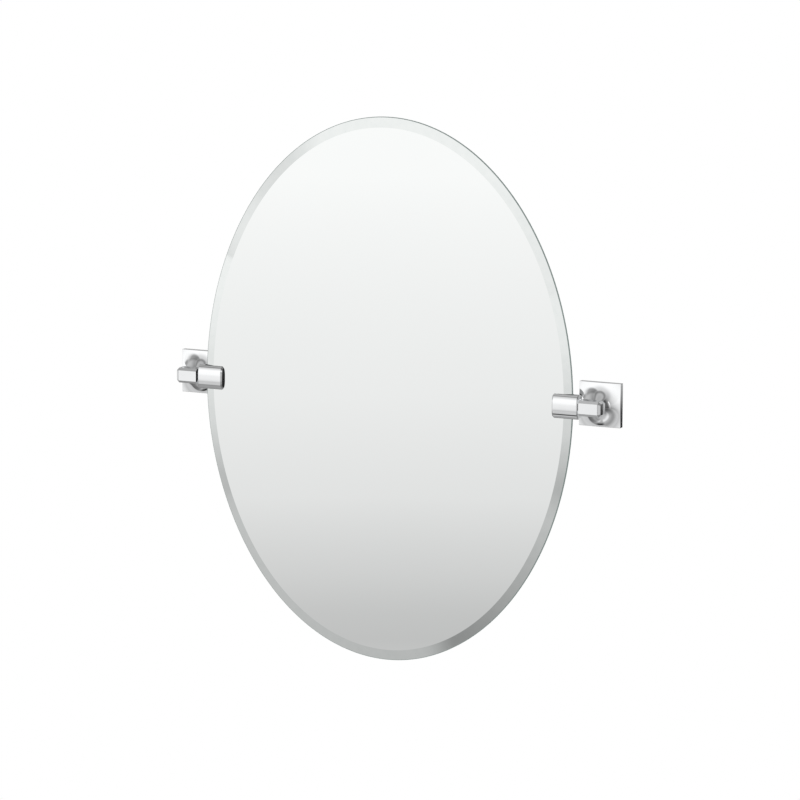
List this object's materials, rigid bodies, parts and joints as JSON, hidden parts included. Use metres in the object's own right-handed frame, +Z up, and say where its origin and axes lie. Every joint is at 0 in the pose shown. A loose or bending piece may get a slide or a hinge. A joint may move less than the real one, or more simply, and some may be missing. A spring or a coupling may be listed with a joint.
{
  "type": "pivot wall mirror",
  "caption": "Frameless oval bevelled mirror that tilts on a horizontal pivot between square wall posts with flared necks, arms and clamp barrels.",
  "frame": {"origin": "on the wall, midway between the two posts, in the middle of the four wall screws", "axes": "+Z up along the height of the mirror, +Y into the wall, so the mirror faces -Y; +X to the right as the viewer looks at the mirror, along the pivot"},
  "size_m": [0.596, 0.0444, 0.673],
  "materials": {
    "mirror_glass": "polished silvered float glass with a bevelled rim",
    "backing": "white woven safety film over the silvering",
    "chrome": "bright polished chrome plate",
    "zinc_steel": "zinc-plated steel",
    "dark_steel": "black oxide steel",
    "bush_plastic": "black acetal",
    "pad_rubber": "black soft vinyl"
  },
  "bodies": {
    "wall_mount": {"post_left": "chrome", "wall_bracket_left": "zinc_steel", "lock_screw_left": "dark_steel", "arm_left": "chrome", "arm_screw_left": "zinc_steel", "friction_bush_left": "bush_plastic", "outer_bush_left": "bush_plastic", "end_cap_left": "chrome", "post_right": "chrome", "wall_bracket_right": "zinc_steel", "lock_screw_right": "dark_steel", "arm_right": "chrome", "arm_screw_right": "zinc_steel", "friction_bush_right": "bush_plastic", "outer_bush_right": "bush_plastic", "end_cap_right": "chrome"},
    "mirror": {"mirror_glass": "mirror_glass", "safety_backing": "backing", "clamp_barrel_left": "chrome", "glass_pad_left": "pad_rubber", "clamp_screws_left": "dark_steel", "pivot_bolt_left": "zinc_steel", "spring_washer_left": "zinc_steel", "clamp_barrel_right": "chrome", "glass_pad_right": "pad_rubber", "clamp_screws_right": "dark_steel", "pivot_bolt_right": "zinc_steel", "spring_washer_right": "zinc_steel"}
  },
  "joints": [
    {"name": "mirror_tilt", "type": "hinge", "parent": "wall_mount", "child": "mirror", "pos_m": [0, -0.035, 0], "axis": [1, 0, 0], "range_deg": [-5, 5]}
  ]
}
